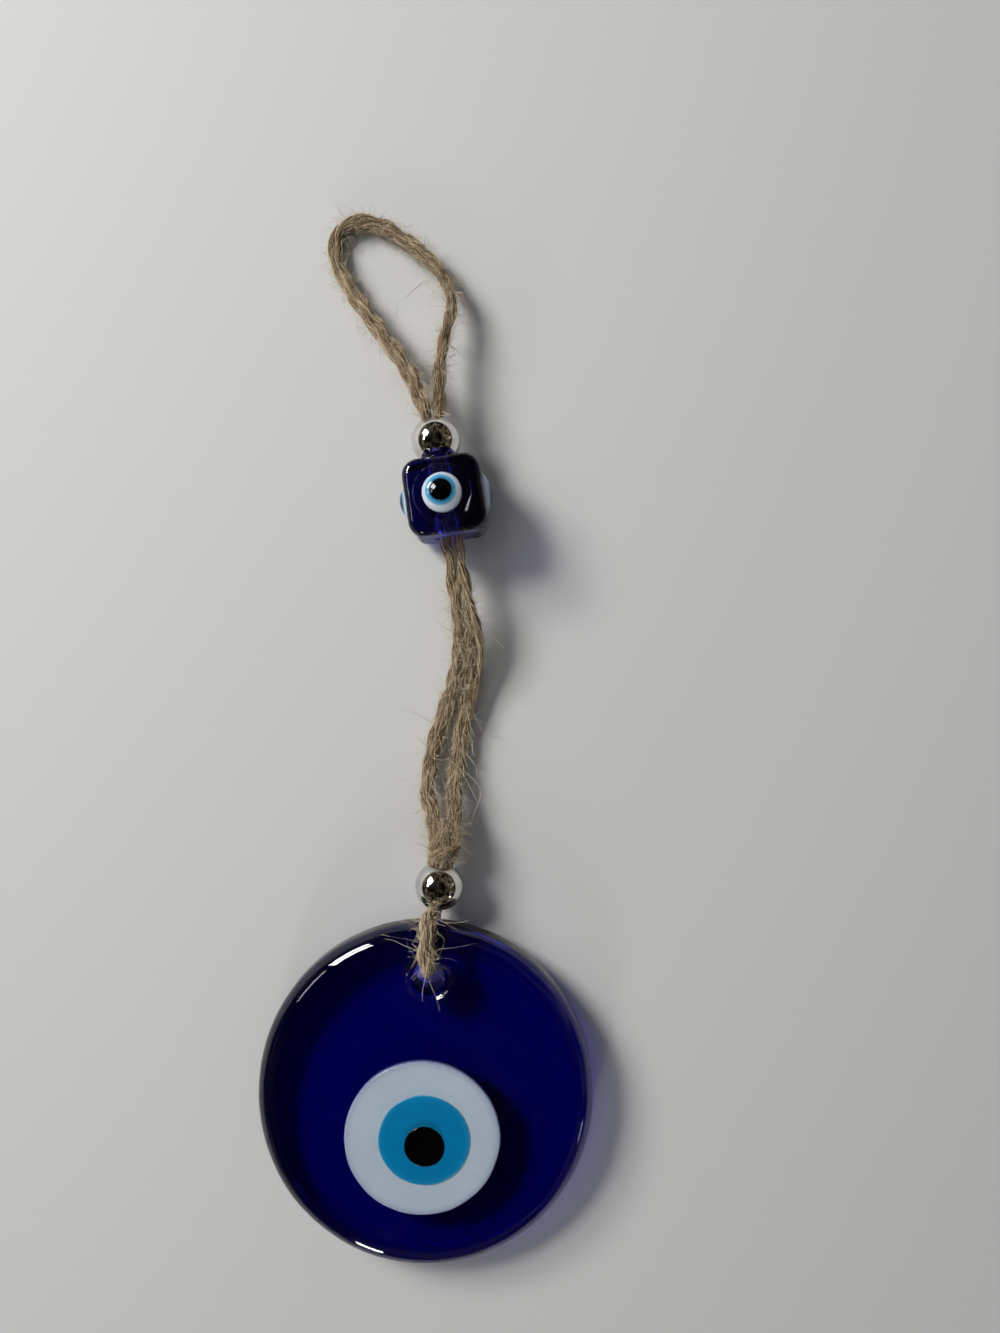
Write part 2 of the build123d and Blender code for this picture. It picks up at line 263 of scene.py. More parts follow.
def lightWorld():
    # an even soft light, a pale background, and a dim cluttered room for polished surfaces to mirror
    world = bpy.data.worlds.new("studio")
    bpy.context.scene.world = world
    world.use_nodes = True
    tree = world.node_tree
    toward = addNode(tree, "TexCoord")["Generated"]
    height = addNode(tree, "SeparateXYZ", {0: toward})["Z"]
    things = addNode(tree, "TexVoronoi", {"Vector": toward, "Scale": room["clutter"]})["Color"]
    shade = addNode(tree, "SeparateColor", {0: things})["Red"]
    patches = addNoise(tree, room["clutter"], room["clutterDetail"], "Generated")
    mingled = addMath(tree, "MULTIPLY", shade, patches)
    clutter = addRamp(tree, addMath(tree, "MULTIPLY", mingled, room["contrast"]), room["clutterShades"])
    start, end, least = room["overhead"]
    overhead = addRange(tree, height, start, end, 1.0, least)
    dimmed = addNode(tree, "VectorMath", {0: clutter, "Scale": overhead}, operation="SCALE")[0]
    mirrored = mixColours(tree, addRange(tree, height, *room["horizon"]), room["ground"], dimmed)
    path = addNode(tree, "LightPath")
    straight = addMath(tree, "SUBTRACT", path["Is Transmission Ray"], path["Diffuse Depth"])
    straight.node.use_clamp = True
    seen = addMath(tree, "MAXIMUM", path["Is Camera Ray"], straight)
    light = mixColours(tree, path["Is Glossy Ray"], room["soft"], mirrored)
    shown = mixColours(tree, seen, light, room["background"])
    setInputs(tree, tree.nodes["Background"], {"Color": shown})


clearSelection()
addCamera()
floorUnderDisc = addFloor()
for name, setting in lamps.items():
    lamp = addLamp(name, **setting)
    if name in lightUnderDisc["shutOut"]:
        linkLamp(lamp, floorUnderDisc, "EXCLUDE")
linkLamp(addLamp("underDisc", **lightUnderDisc["lamp"]), floorUnderDisc, "INCLUDE")
lightWorld()
bpy.context.scene.view_settings.view_transform = "Standard"
print("camera, floor and light")


def onBail(reach, height, aside=0.0):
    place = holeMiddle + bailAlong * reach * mm + bailAcross * aside * mm
    return (place.x, place.y, height * mm)


def alongCube(reach, offset):
    return tuple(cubeMiddle + cubeUp * reach * mm + cubeAcross * offset * mm)


def inMetres(points):
    return [tuple(value * mm for value in point) for point in points]


strandOffset = 1.12  # from the middle of the cube's bore
tightOffset = 0.87  # from the middle of a silver bead's bore
bail = {
    "points": [onBail(*point) for point in (
        (18.57, 6.07), (10.2, 6.07, -0.7), (8.7, 8.3, -1.1), (6.6, 10.4, -0.8), (3.4, 10.7, -0.45),
        (1.5, 9.7, -0.3), (1.2, 5.6, 0.0), (1.2, 1.15), (7.4, 1.15), (9.6, 4.33), (18.57, 4.33),
    )],
    "width": (
        (0, 1.7), (7.9, 1.7), (8.9, 2.6), (14, 2.6), (17, 2.4), (20.5, 2.2), (23, 2.0), (28, 2.0),
        (36, 1.7), (45, 1.7),
    ),
    # the bail's larger paleness is painted light, for the window's light that falls on it directly
    "step": 0.32, "seed": 11, "pale": 0.10,
    "hairy": {"along": (8, 22), "fuzz": 26.0, "long": 40, "longLength": (2.5, 7.0)},
    "wisps": (
        ((1.1, -16.4, 9.6), (-1.5, -15.4, 8.9), (-4.7, -15.1, 8.6), (-6.9, -14.6, 8.5)),
        ((2.2, -16.6, 9.6), (5.0, -16.8, 8.8), (8.2, -16.0, 8.6)),
        ((1.6, -18.2, 9.4), (4.2, -18.1, 8.6), (5.4, -19.0, 8.4)),
        ((3.2, -12.4, 9.4), (5.3, -12.9, 8.6), (7.1, -12.3, 8.6)),
        ((0.4, -19.2, 9.2), (-1.2, -18.2, 8.6), (-2.6, -16.9, 8.5), (-2.9, -15.0, 8.6)),
    ),
}
leftStrand = {
    "points": inMetres([
        (1.693, 1.5, 4.9), (0.1, 5.8, 3.6), (0.2, 11.4, 1.9), (1.7, 17.6, 1.4),
        (4.1, 24.6, 1.9), (5.4, 30.2, 3.5), (5.4, 36.2, 5.4),
    ]) + [
        alongCube(-14.5, -0.40), alongCube(-10.5, -0.30), alongCube(-6.5, -0.75),
        alongCube(5.0, -strandOffset), alongCube(7.2, -tightOffset), alongCube(10.6, -tightOffset),
    ],
    "width": (
        (0, 1.9), (1.5, 2.5), (8, 2.5), (16, 2.7), (24, 2.5), (32, 2.1), (37, 1.8), (42, 2.0),
        (50, 2.1), (62, 2.1), (64, 1.7), (71, 1.7),
    ),
    "step": 0.45, "seed": 23, "pale": 0.02,
    "hairy": {"along": (0, 42.0), "fuzz": 28.0, "long": 56, "longLength": (3.0, 8.0)},
    "wisps": (
        ((4.6, 41.0, 6.4), (2.6, 41.3, 5.4), (0.6, 41.2, 4.6), (-0.8, 41.8, 4.2)),
        ((4.7, 40.2, 6.4), (2.4, 39.6, 5.6), (0.9, 39.0, 5.0), (-0.2, 39.2, 4.8)),
        ((1.0, 13.5, 3.4), (2.6, 12.6, 3.6), (3.8, 13.4, 3.2)),
    ),
}
rightStrand = {
    "points": inMetres([
        (4.393, 1.5, 4.9), (4.4, 5.9, 3.7), (4.9, 11.6, 1.9), (5.9, 18.0, 1.4),
        (6.9, 24.8, 1.9), (7.5, 30.6, 3.5), (7.3, 36.6, 5.6),
    ]) + [
        alongCube(-14.5, 1.36), alongCube(-10.5, 1.20), alongCube(-6.5, 1.12),
        alongCube(5.0, strandOffset), alongCube(7.2, tightOffset), alongCube(10.6, tightOffset),
    ],
    "width": (
        (0, 1.9), (1.5, 2.4), (8, 2.5), (16, 2.6), (26, 2.3), (34, 2.0), (46, 1.9), (50, 2.1),
        (62, 2.1), (64, 1.7), (71, 1.7),
    ),
    "step": 0.45, "seed": 37, "pale": 0.02,
    "hairy": {"along": (0, 42.0), "fuzz": 34.0, "long": 74, "longLength": (3.5, 9.0)},
    "wisps": (
        (
            (4.2, 12.6, 3.2), (7.2, 10.6, 3.4), (9.4, 7.9, 3.2),
            (7.9, 4.2, 3.0), (7.0, 1.2, 3.0), (6.5, -2.3, 2.6),
        ),
        ((5.4, 15.0, 3.0), (7.6, 13.2, 2.8), (8.6, 10.4, 2.6), (7.6, 7.8, 2.4)),
        ((7.4, 36.0, 6.4), (9.6, 34.4, 5.0), (12.0, 32.6, 4.4), (13.2, 31.4, 4.2)),
        ((6.0, 19.4, 3.0), (8.0, 20.4, 2.6), (9.4, 19.2, 2.2)),
        ((4.6, 9.0, 4.2), (6.2, 6.4, 4.0), (6.9, 3.0, 3.6), (6.3, 0.4, 3.4)),
    ),
    "loose": {  # one ply that has come away for a stretch
        "points": inMetres([
            (5.9, 45.6, 8.0), (6.9, 40.6, 7.6), (8.4, 36.0, 6.4), (9.3, 31.2, 4.8),
            (8.5, 26.2, 3.2), (7.2, 21.2, 2.4), (6.4, 17.4, 2.2),
        ]),
        "width": 0.95, "swell": (0.15, 4.0), "fibres": 26,
    },
}
loop = {
    "points": [alongCube(10.2, tightOffset), alongCube(12.4, tightOffset)] + inMetres([
        (2.273, 70.404, 7.2), (2.1, 76.2, 6.2), (3.0, 82.7, 5.2), (4.7, 88.8, 4.2), (2.6, 94.2, 3.3),
        (-2.6, 99.3, 2.4), (-8.8, 103.4, 1.7), (-14.3, 103.0, 1.4), (-16.0, 97.9, 1.4),
        (-13.3, 92.0, 2.2), (-9.0, 86.0, 3.4), (-4.4, 79.7, 4.8), (-1.1, 73.8, 6.3),
        (-0.103, 70.070, 7.2),
    ]) + [alongCube(12.4, -tightOffset), alongCube(10.2, -tightOffset)],
    "width": (
        (0, 1.6), (3.4, 1.6), (5, 2.2), (12, 1.9), (22, 1.8), (34, 2.4), (44, 2.7), (53, 2.3),
        (70, 2.6), (84, 2.7), (87, 2.2), (88.2, 1.6), (92, 1.6),
    ),
    "step": 0.45, "seed": 41, "pale": 0.0,
    "hairy": {"along": (3, 88), "fuzz": 22.0, "long": 60, "longLength": (3.0, 8.0)},
    "wisps": (
        ((3.6, 87.8, 4.6), (5.2, 86.9, 4.0), (6.9, 86.9, 3.6), (7.4, 87.9, 3.4)),
        ((3.2, 82.4, 5.4), (4.8, 80.9, 4.6), (6.7, 79.1, 4.0)),
        ((-7.6, 101.0, 3.0), (-6.2, 102.2, 3.6), (-5.0, 103.2, 3.4)),
        ((-5.0, 81.0, 5.0), (-2.6, 82.0, 4.6), (-0.8, 81.2, 4.4)),
    ),
}


def centreline(points, step):
    # a smooth line along the points, as dots an even step apart, and how far along it each dot is
    curve = bpy.data.curves.new("route", "CURVE")
    curve.dimensions = "3D"
    curve.resolution_u = 24
    spline = curve.splines.new("NURBS")
    spline.points.add(len(points) - 1)
    for place, point in zip(spline.points, points):
        place.co = (*point, 1)
    spline.order_u = 3
    spline.use_endpoint_u = True
    route = bpy.data.objects.new("route", curve)
    line = bpy.data.meshes.new_from_object(route)
    dots = np.array([vertex.co for vertex in line.vertices], float)
    bpy.data.objects.remove(route)
    bpy.data.curves.remove(curve)
    bpy.data.meshes.remove(line)
    gaps = np.linalg.norm(np.diff(dots, axis=0), axis=1)
    dots = dots[np.concatenate([[True], gaps > 1e-7])]
    run = np.concatenate([[0], np.cumsum(np.linalg.norm(np.diff(dots, axis=0), axis=1))])
    count = int(run[-1] / (step * mm)) + 1
    even = np.linspace(0, run[-1], count)
    return np.stack([np.interp(even, run, dots[:, axis]) for axis in range(3)], axis=1), even


def squareTo(line):
    # two directions square to the line at each of its points, turned as little as possible on the way
    ahead = np.gradient(line, axis=0)
    ahead /= np.linalg.norm(ahead, axis=1)[:, None]
    side = np.zeros_like(line)
    before = np.cross(ahead[0], (0, 0, 1.0)) + (1e-6, 0, 0)
    for index, forward in enumerate(ahead):
        before = before - forward * before.dot(forward)
        before /= np.linalg.norm(before)
        side[index] = before
    return ahead, side, np.cross(side, ahead)


def wander(draw, run, depth, wave):
    # a smooth random value from -depth to depth along a run, changing over about one wave
    knots = draw.uniform(-1, 1, int((run[-1] - run[0]) / wave) + 3)
    place = (run - run[0]) / wave
    low = place.astype(int)
    share = place - low
    share = share * share * (3 - 2 * share)
    return depth * (knots[low] * (1 - share) + knots[low + 1] * share)


def newBundle():
    return {"dots": [], "faces": [], "tones": [], "count": 0}


def addThread(bundle, centres, radii, tones, side, up, sides):
    # one closed thread along its centres, its cross-section in the directions side and up
    turn = np.arange(sides) * 2 * math.pi / sides
    ring = np.cos(turn)[None, :, None] * side[:, None] + np.sin(turn)[None, :, None] * up[:, None]
    dots = centres[:, None] + radii[:, None, None] * ring
    first = bundle["count"] + np.arange(len(centres) - 1)[:, None] * sides
    here = np.arange(sides)[None, :]
    there = (here + 1) % sides
    quads = np.stack([first + here, first + there, first + there + sides, first + here + sides], axis=2)
    bundle["faces"] += quads.reshape(-1, 4).tolist()
    last = bundle["count"] + (len(centres) - 1) * sides
    bundle["faces"].append([bundle["count"] + k for k in reversed(range(sides))])
    bundle["faces"].append([last + k for k in range(sides)])
    bundle["dots"].append(dots.reshape(-1, 3))
    bundle["tones"].append(np.repeat(tones, sides))
    bundle["count"] += len(centres) * sides


jute = {
    "pitch": 10.5,  # one turn of the two plies, left-handed
    "plyOffset": 0.180,  # shares of the twine's width
    "plyRadius": 0.325,
    "coreRadius": 0.86,  # share of the ply's radius
    # the core is painted dark, as the shade deep inside a ply between its fibres
    "coreShadeTone": 0.05,
    "fibres": 58,  # round each ply
    "fibreRadius": (0.026, 0.07),
    "fibreLength": (6, 26),
    "fibreLay": 0.55,  # turns of a fibre round its ply for each turn of the plies
    "layShare": (0.4, 1.5),
    "fibreBow": (0, 0, 0, 0.14, 0.30),  # how far a fibre stands away in its middle, one drawn for each
    "fibreReach": (0.83, 0.14),  # share of the ply's radius at the tucked-in ends, and how much more between
    "fibreGirth": (0.35, 0.65),  # the same for how thick a fibre is
    "tuckIn": 8,
    "fibreTone": (0.36, 0.17),
    # painted shade: how much a fibre's tone drops for each share of the ply's radius it lies deeper, and the
    # share at which it is unchanged
    "shadeByReach": (0.5, 0.95),
    "toneLimits": (0.0, 0.9),
    # how deep each thing wanders, and over what length in millimetres
    "fibreSway": (0.5, 4.0), "fibreLift": (0.12, 3.0), "fibreSwell": (0.25, 2.0), "fibreFade": (0.10, 3.0),
    "twineSwell": (0.04, 3.0), "twineTurn": (0.35, 6.0), "plyShift": (0.06, 4.0), "plySwell": (0.06, 2.5),
    "shades": (
        (0.12, (0.046, 0.025, 0.011)), (0.36, (0.145, 0.088, 0.042)), (0.60, (0.290, 0.198, 0.106)),
        (0.80, (0.45, 0.340, 0.206)), (1.0, (0.66, 0.545, 0.38)),
    ),
    "speckScale": 900, "speckDepth": 0.5,
    "surface": {
        "Roughness": 0.7, "Sheen Weight": 0.12, "Sheen Roughness": 0.5, "Sheen Tint": (1.0, 0.86, 0.62),
    },
}


def makeJute():
    # each fibre has its own tone, painted darker as shade where it lies deep in the ply, broken up by fine
    # specks
    material, tree, shader = newFinish("jute")
    tone = addNode(tree, "Attribute", attribute_name="tone")["Fac"]
    specks = addNoise(tree, jute["speckScale"], detail=4)
    shift = addMath(tree, "MULTIPLY_ADD", specks, jute["speckDepth"], tone)
    setInputs(tree, shader, {"Base Color": addRamp(tree, shift, jute["shades"]), **jute["surface"]})
    return material


juteFinish = makeJute()


def makeBundle(name, bundle, body):
    # all threads of a bundle as one piece
    mesh = bpy.data.meshes.new(name)
    mesh.from_pydata(np.concatenate(bundle["dots"]).tolist(), [], bundle["faces"])
    tone = mesh.attributes.new("tone", "FLOAT", "POINT")
    tone.data.foreach_set("value", np.concatenate(bundle["tones"]).astype(np.float32))
    mesh.shade_smooth()
    mesh.materials.append(juteFinish)
    piece = bpy.data.objects.new(name, mesh)
    bpy.context.collection.objects.link(piece)
    if body:
        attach(piece, body)
    return piece


hair = {
    "step": 0.4, "clearance": 0.15, "lie": 1.6,  # how many of its radii a hair lies above what is under it
    "tip": 0.45, "wispTip": 0.55, "wispRadius": 0.046,
    "fuzz": {
        "stand": 0.85, "lengths": (0.8, 3.2), "radii": (0.024, 0.046), "spread": 2.6,
        "tones": (0.50, 1.0), "curl": 0.34,
    },
    "long": {
        "stand": 0.8, "radii": (0.032, 0.050), "spread": 1.8, "tones": (0.75, 1.0), "curl": 0.16,
    },
}


def topOfDisc(x, y):
    # height of whatever lies under a hair: the disc's front, or the table
    dx, dy = x - discMiddle.x, y - discMiddle.y
    if math.hypot(dx, dy) > disc["radius"] * mm:
        return 0.0
    return discMiddle.z + dy * math.tan(discTilt) + (disc["thickness"] + hair["clearance"]) * mm


def addHair(bundle, draw, start, heading, length, radius, tone, curl):
    # one stray hair that leaves along its heading and curls as it goes
    count = max(5, int(length / hair["step"]))
    stretch = length / (count - 1)
    bend = draw.normal(0, 1, 3)
    twist = draw.normal(0, 1, 3)
    dots = [np.array(start)]
    heading = np.array(heading) / np.linalg.norm(heading)
    for index in range(count - 1):
        share = index / count
        heading = heading + curl * stretch * (bend * (1 - share) + twist * share)
        heading /= np.linalg.norm(heading)
        dot = dots[-1] + heading * stretch * mm
        dot[2] = max(dot[2], topOfDisc(dot[0], dot[1]) + hair["lie"] * radius * mm)
        dots.append(dot)
    dots = np.array(dots)
    _, side, up = squareTo(dots)
    radii = radius * mm * np.linspace(1, hair["tip"], count)
    addThread(bundle, dots, radii, np.full(count, tone), side, up, 3)


def layPly(bundle, draw, away, side, up, heart, plyRadius, turn, fibres, pale=0.0):
    # a core painted dark as the shade inside the ply, with fibres wound about it
    core = np.full(len(heart), jute["coreShadeTone"])
    addThread(bundle, heart, plyRadius * jute["coreRadius"], core, side, up, 8)
    wanted = fibres * away[-1]
    laid = 0.0
    while laid < wanted:
        length = draw.uniform(*jute["fibreLength"])
        begin = draw.uniform(-length * 0.6, away[-1] - length * 0.4)
        first, last = np.searchsorted(away, [begin, begin + length])
        if last - first < 6:
            continue
        part = slice(first, last)
        stretch = away[part]
        laid += stretch[-1] - stretch[0]
        share = (stretch - begin) / length
        lay = -jute["fibreLay"] * draw.uniform(*jute["layShare"])
        around = draw.uniform(0, 2 * math.pi) + lay * turn[part] + wander(draw, stretch, *jute["fibreSway"])
        tuck = np.clip(np.minimum(share, 1 - share) * jute["tuckIn"], 0, 1)
        least, more = jute["fibreReach"]
        lift = least + more * tuck + wander(draw, stretch, *jute["fibreLift"])
        lift += draw.choice(jute["fibreBow"]) * np.sin(math.pi * np.clip(share, 0, 1))
        reach = plyRadius[part] * lift
        outward = np.cos(around)[:, None] * side[part] + np.sin(around)[:, None] * up[part]
        centres = heart[part] + reach[:, None] * outward
        thin, more = jute["fibreGirth"]
        radii = draw.uniform(*jute["fibreRadius"]) * mm * (thin + more * tuck)
        radii = radii * (1 + wander(draw, stretch, *jute["fibreSwell"]))
        centres[:, 2] = np.maximum(centres[:, 2], radii)
        mean, spread = jute["fibreTone"]
        # fibres lying deeper in the ply are painted darker, as shade
        depthShadeGain, depthShadeLevel = jute["shadeByReach"]
        # pale lightens every fibre; the bail's larger share of it is painted light
        tone = draw.normal(mean + pale, spread) + wander(draw, stretch, *jute["fibreFade"])
        tone = np.clip(tone + depthShadeGain * (lift - depthShadeLevel), *jute["toneLimits"])
        addThread(bundle, centres, radii, tone, side[part], up[part], 3)


def layTwine(points, width, seed, step, pale=0.0):
    # a two-ply twine along a route; width gives (distance from its start, width across), in millimetres
    draw = np.random.default_rng(seed)
    line, run = centreline(points, step)
    _, side, up = squareTo(line)
    away = run / mm
    across = np.interp(away, [place for place, _ in width], [value for _, value in width]) * mm
    across *= 1 + wander(draw, away, *jute["twineSwell"])
    bundle = newBundle()
    for ply in range(2):
        turn = -2 * math.pi * away / jute["pitch"] + math.pi * ply
        turn += wander(draw, away, *jute["twineTurn"])
        offset = across * jute["plyOffset"] * (1 + wander(draw, away, *jute["plyShift"]))
        heart = line + offset[:, None] * (np.cos(turn)[:, None] * side + np.sin(turn)[:, None] * up)
        plyRadius = across * jute["plyRadius"] * (1 + wander(draw, away, *jute["plySwell"]))
        layPly(bundle, draw, away, side, up, heart, plyRadius, turn, jute["fibres"], pale)
    return bundle, line


def layHairs(bundle, path, draw, count, along, stand, lengths, radii, spread, tones, curl):
    # hairs that stand off a twine between two distances from its start, all in millimetres
    ahead, side, up = squareTo(path)
    away = np.concatenate([[0], np.cumsum(np.linalg.norm(np.diff(path, axis=0), axis=1))]) / mm
    for _ in range(count):
        index = min(np.searchsorted(away, draw.uniform(*along)), len(path) - 1)
        angle = draw.uniform(0, 2 * math.pi)
        outward = math.cos(angle) * side[index] + math.sin(angle) * up[index]
        start = path[index] + outward * stand * mm
        if start[2] < topOfDisc(start[0], start[1]):
            continue
        heading = ahead[index] * draw.uniform(-spread, spread) + outward * draw.uniform(0.3, 1.0)
        length, radius, tone = draw.uniform(*lengths), draw.uniform(*radii), draw.uniform(*tones)
        addHair(bundle, draw, start, heading, length, radius, tone, curl)


def addWisp(bundle, points):
    # one long hair along chosen points
    line, _ = centreline(points, hair["step"])
    _, side, up = squareTo(line)
    radii = hair["wispRadius"] * mm * np.linspace(1, hair["wispTip"], len(line))
    addThread(bundle, line, radii, np.full(len(line), 1.0), side, up, 4)


def makeHairs(name, body, path, route):
    # a dense short fuzz, long loose hairs, and any ply that has come away
    hairy = route["hairy"]
    draw = np.random.default_rng(route["seed"] + 100)
    bundle = newBundle()
    begin, end = hairy["along"]
    fuzz = int(hairy["fuzz"] * (end - begin))
    layHairs(bundle, path, draw, fuzz, hairy["along"], **hair["fuzz"])
    layHairs(bundle, path, draw, hairy["long"], hairy["along"], lengths=hairy["longLength"], **hair["long"])
    for wisp in route["wisps"]:
        addWisp(bundle, inMetres(wisp))
    if "loose" in route:
        loose = route["loose"]
        line, run = centreline(loose["points"], route["step"])
        _, side, up = squareTo(line)
        away = run / mm
        reach = loose["width"] / 2 * mm * (1 + wander(draw, away, *loose["swell"]))
        turn = -2 * math.pi * away / jute["pitch"]
        layPly(bundle, draw, away, side, up, line, reach, turn, loose["fibres"])
    return makeBundle(name, bundle, body)


def makeTwine(name, route, body, hairBody, nodes):
    bundle, path = layTwine(route["points"], route["width"], route["seed"], route["step"], route["pale"])
    piece = makeBundle(name + "Twine", bundle, body)
    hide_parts(*nodes)
    hairs = makeHairs(name + "Hairs", hairBody, path, route)
    return piece, path, hairs


bailPiece, bailPath, bailHairs = makeTwine("bail", bail, "bail", "bail", ["twine_bail"])
leftPiece, leftPath, leftHairs = makeTwine(
    "left", leftStrand, "cord", "cord", ["left_strand", "left_cube_run", "left_bead_run"]
)
rightPiece, rightPath, rightHairs = makeTwine(
    "right", rightStrand, "cord", "cord", ["right_strand", "right_cube_run", "right_bead_run"]
)
loopPiece, loopPath, loopHairs = makeTwine("loop", loop, None, "loop", ["hanging_loop"])
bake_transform(loopPiece)


# the knot: both strands run down into the bead, wound with a turn and a half, with frayed ends
knot = {
    "wrapRadius": 1.85, "wrapAt": -1.35, "turns": 1.6, "rise": 2.4, "lean": 1.15, "seed": 57, "step": 0.3,
    "wrapStart": 0.75, "wobble": 0.08, "wobbles": 3.1,
    "lead": ((0.5, 3.6, -0.2), (0.1, 2.2, 0.6)), "tail": (0.2, -3.6, -0.2),
    "width": ((0, 1.5), (3, 2.1), (18, 2.1), (40, 1.4)),
    "coreWidth": ((0, 1.8), (3, 2.4), (8.5, 2.4), (11, 1.2)),
    "cores": (
        (
            (-0.5, -4.4, 0), (-1.0, -2.0, 0.2), (-1.25, 0.4, 0.1), (-1.45, 2.2, -0.2),
            (-2.2, 4.6, -0.9), (-2.9, 6.8, -1.8),
        ),
        (
            (0.5, -4.4, 0), (1.1, -2.0, 0.2), (1.35, 0.4, 0.3), (1.3, 2.2, -0.1),
            (1.3, 4.6, -0.7), (1.35, 6.8, -1.5),
        ),
        ((0.0, -3.6, 0.6), (0.1, -1.0, 0.6), (-0.1, 1.2, 0.3), (0.0, 3.6, -0.5)),
    ),
    "frays": 560, "frayLength": (0.9, 3.6), "frayRadius": (0.02, 0.038), "frayTone": (0.35, 0.95),
    "frayCurl": 0.4, "frayStand": 2.3, "frayAlong": (-3.0, 4.0),
    "frayOut": (0.1, 0.7), "frayLean": (-1.2, 1.2), "frayScatter": 0.5,
}


def atKnot(across, along, height):
    return tuple(knotMiddle + bailAlong * along * mm + bailAcross * across * mm + Vector((0, 0, height * mm)))


def joinBundle(bundle, extra):
    first = bundle["count"]
    bundle["dots"] += extra["dots"]
    bundle["tones"] += extra["tones"]
    bundle["faces"] += [[first + dot for dot in face] for face in extra["faces"]]
    bundle["count"] += extra["count"]


def makeKnot():
    draw = np.random.default_rng(knot["seed"])
    bundle = newBundle()
    steps = int(knot["turns"] * 8)
    wraps = [atKnot(*point) for point in knot["lead"]]
    for k in range(steps + 1):
        angle = math.pi * knot["wrapStart"] + 2 * math.pi * knot["turns"] * k / steps
        along = knot["wrapAt"] - knot["rise"] * (k / steps - 0.5) + knot["lean"] * math.cos(angle)
        radius = knot["wrapRadius"] * (1 + knot["wobble"] * math.sin(knot["wobbles"] * angle))
        wraps.append(atKnot(radius * math.cos(angle), along, radius * math.sin(angle)))
    wraps.append(atKnot(*knot["tail"]))
    wound, _ = layTwine(wraps, knot["width"], knot["seed"] + 1, knot["step"])
    joinBundle(bundle, wound)
    for number, points in enumerate(knot["cores"]):
        points = [atKnot(*point) for point in points]
        core, _ = layTwine(points, knot["coreWidth"], knot["seed"] + 4 + number, knot["step"])
        joinBundle(bundle, core)
    middle, along = np.array(knotMiddle), np.array(bailAlong)
    for _ in range(knot["frays"]):
        angle = draw.uniform(0, 2 * math.pi)
        outward = np.array(atKnot(math.cos(angle), 0, math.sin(angle))) - middle
        outward /= np.linalg.norm(outward)
        start = middle + outward * knot["frayStand"] * mm + along * draw.uniform(*knot["frayAlong"]) * mm
        heading = outward * draw.uniform(*knot["frayOut"]) + along * draw.uniform(*knot["frayLean"])
        heading += draw.normal(0, knot["frayScatter"], 3)
        length, radius, tone = (draw.uniform(*knot["fray" + part]) for part in ("Length", "Radius", "Tone"))
        addHair(bundle, draw, start, heading, length, radius, tone, knot["frayCurl"])
    piece = makeBundle("twineKnot", bundle, "cord")
    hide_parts("twine_knot")
    return piece


knotPiece = makeKnot()
print("twine")


def ringStack(rings, around):
    # a circle drawn out ring by ring; a ring is (radius, height), and may go on with the x and y of its
    # middle and how much taller than wide it is, all in millimetres
    rings = [(*ring, *(0, 0, 1)[len(ring) - 2:]) for ring in rings]
    radius, height, x, y, tall = rings[0]
    bpy.ops.mesh.primitive_circle_add(
        vertices=around, radius=radius * mm, location=(x * mm, y * mm, height * mm)
    )
    piece = bpy.context.object
    bpy.ops.object.transform_apply(location=True)
    setMode("EDIT")
    bpy.ops.mesh.select_all(action="SELECT")
    for nextRadius, nextHeight, nextX, nextY, nextTall in rings[1:]:
        bpy.ops.mesh.extrude_edges_move(TRANSFORM_OT_translate={
            "value": ((nextX - x) * mm, (nextY - y) * mm, (nextHeight - height) * mm)
        })
        ratio = nextRadius / radius
        bpy.ops.transform.resize(
            value=(ratio, ratio * nextTall / tall, 1),
            center_override=(nextX * mm, nextY * mm, nextHeight * mm),
        )
        radius, height, x, y, tall = nextRadius, nextHeight, nextX, nextY, nextTall
    setMode("OBJECT")
    return piece


def arc(middleRadius, middleHeight, bend, start, end, steps):
    # points of a quarter turn for ringStack; angles in degrees, 0 outwards and 90 up
    angles = [math.radians(start + (end - start) * k / steps) for k in range(steps + 1)]
    return [(middleRadius + bend * math.cos(a), middleHeight + bend * math.sin(a)) for a in angles]


def closeEnds():
    # fills the open rims of the piece in hand with a face each
    setMode("EDIT")
    bpy.ops.mesh.select_all(action="DESELECT")
    bpy.ops.mesh.select_non_manifold()
    bpy.ops.mesh.edge_face_add()
    setMode("OBJECT")


def tidySkin(join=0.001):
    # one skin for the piece in hand, with its faces outwards
    setMode("EDIT")
    bpy.ops.mesh.select_all(action="SELECT")
    bpy.ops.mesh.remove_doubles(threshold=join * mm)
    bpy.ops.mesh.normals_make_consistent(inside=False)
    setMode("OBJECT")


def onlyThis(piece):
    clearSelection()
    piece.select_set(True)
    bpy.context.view_layer.objects.active = piece


def applyModifier(piece, kind, **settings):
    onlyThis(piece)
    change = piece.modifiers.new("change", kind)
    for label, value in settings.items():
        setattr(change, label, value)
    bpy.ops.object.modifier_apply(modifier="change")


def ripple(piece, size, strength, direction="NORMAL", shift=(0, 0, 0)):
    # the slow unevenness of poured glass; the piece is moved within the pattern by the shift, and back
    clouds = bpy.data.textures.new("ripple", "CLOUDS")
    clouds.noise_scale = size * mm
    clouds.noise_depth = 1
    for way in (1, -1):
        onlyThis(piece)
        bpy.ops.transform.translate(value=[value * way * mm for value in shift])
        bpy.ops.object.transform_apply(location=True)
        if way == 1:
            applyModifier(
                piece, "DISPLACE", texture=clouds, texture_coords="LOCAL", direction=direction,
                strength=strength * mm, mid_level=0.5,
            )


def markReach(piece, tall=1.0):
    # stores each point's distance from the piece's own axis, in millimetres
    reach = piece.data.attributes.new("reach", "FLOAT", "POINT")
    dots = np.array([vertex.co for vertex in piece.data.vertices]) / mm
    reach.data.foreach_set("value", np.hypot(dots[:, 0], dots[:, 1] / tall).astype(np.float32))


